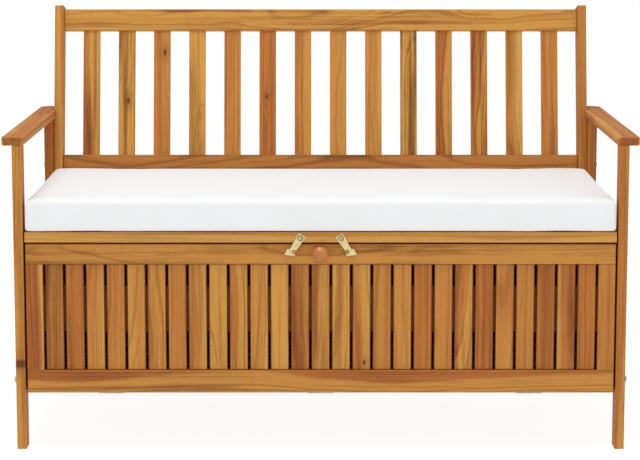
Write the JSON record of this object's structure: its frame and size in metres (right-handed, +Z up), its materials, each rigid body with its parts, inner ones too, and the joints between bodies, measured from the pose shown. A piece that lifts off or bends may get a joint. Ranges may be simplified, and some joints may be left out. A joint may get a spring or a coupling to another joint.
{
  "type": "garden storage bench",
  "caption": "Slatted wooden garden bench with a storage box under the seat, a drop-down front panel held by two hook latches, armrests and a thick seat cushion.",
  "frame": {"origin": "on the ground, under the middle of the bench's box", "axes": "+X along the bench to its right seen from the front, +Y from the front to the back, +Z up"},
  "size_m": [1.2, 0.651, 0.8174],
  "materials": {
    "oiled_wood": "oiled acacia, satin, with strong grain and board to board colour change",
    "knob_wood": "turned and varnished",
    "brass": "pale pressed brass, satin",
    "zinc_steel": "zinc plated",
    "cushion_cover": "plain woven white polyester"
  },
  "bodies": {
    "bench_frame": {"arm_dowels": "oiled_wood", "armrest_left": "oiled_wood", "armrest_right": "oiled_wood", "back_boards": "oiled_wood", "back_lower_rail": "oiled_wood", "back_post_left": "oiled_wood", "back_post_right": "oiled_wood", "back_slat_01": "oiled_wood", "back_slat_02": "oiled_wood", "back_slat_03": "oiled_wood", "back_slat_04": "oiled_wood", "back_slat_05": "oiled_wood", "back_slat_06": "oiled_wood", "back_slat_07": "oiled_wood", "back_slat_08": "oiled_wood", "back_slat_09": "oiled_wood", "back_slat_10": "oiled_wood", "back_slat_11": "oiled_wood", "back_slat_12": "oiled_wood", "back_slat_13": "oiled_wood", "back_slat_14": "oiled_wood", "back_top_rail": "oiled_wood", "box_back_rail": "oiled_wood", "box_front_rail": "oiled_wood", "floor_bearers": "oiled_wood", "floor_boards": "oiled_wood", "frame_bolts": "zinc_steel", "front_leg_left": "oiled_wood", "front_leg_right": "oiled_wood", "hinge_frame_leaves": "zinc_steel", "hinge_frame_screws": "zinc_steel", "hinge_pins": "zinc_steel", "hook_screws": "brass", "rear_leg_left": "oiled_wood", "rear_leg_right": "oiled_wood", "seat_back_rail": "oiled_wood", "seat_bearers": "oiled_wood", "seat_boards": "oiled_wood", "seat_front_board": "oiled_wood", "seat_front_rail": "oiled_wood", "side_bottom_rail_left": "oiled_wood", "side_bottom_rail_right": "oiled_wood", "side_slats_left": "oiled_wood", "side_slats_right": "oiled_wood", "side_top_rail_left": "oiled_wood", "side_top_rail_right": "oiled_wood"},
    "front_panel": {"hinge_panel_leaves": "zinc_steel", "hinge_panel_screws": "zinc_steel", "hook_studs": "brass", "knob": "knob_wood", "knob_screw": "zinc_steel", "panel_batten": "oiled_wood", "panel_bottom_rail": "oiled_wood", "panel_slats": "oiled_wood", "panel_stile_left": "oiled_wood", "panel_stile_right": "oiled_wood", "panel_top_rail": "oiled_wood"},
    "latch_left": {"hook_left": "brass"},
    "latch_right": {"hook_right": "brass"},
    "seat_cushion": {"cushion": "cushion_cover"}
  },
  "joints": [
    {"name": "panel_drop", "type": "hinge", "parent": "bench_frame", "child": "front_panel", "pos_m": [0, -0.28125, 0.1065], "axis": [1, 0, 0], "range_deg": [0, 100]},
    {"name": "latch_left_swing", "type": "hinge", "parent": "bench_frame", "child": "latch_left", "pos_m": [-0.0385, -0.3058, 0.4085], "axis": [0, 1, 0], "range_deg": [0, 90]},
    {"name": "latch_right_swing", "type": "hinge", "parent": "bench_frame", "child": "latch_right", "pos_m": [0.0385, -0.3058, 0.4085], "axis": [0, -1, 0], "range_deg": [0, 90]},
    {"name": "cushion_lift", "type": "slide", "parent": "bench_frame", "child": "seat_cushion", "axis": [0, 0, 1], "range_m": [0, 0.2]}
  ]
}
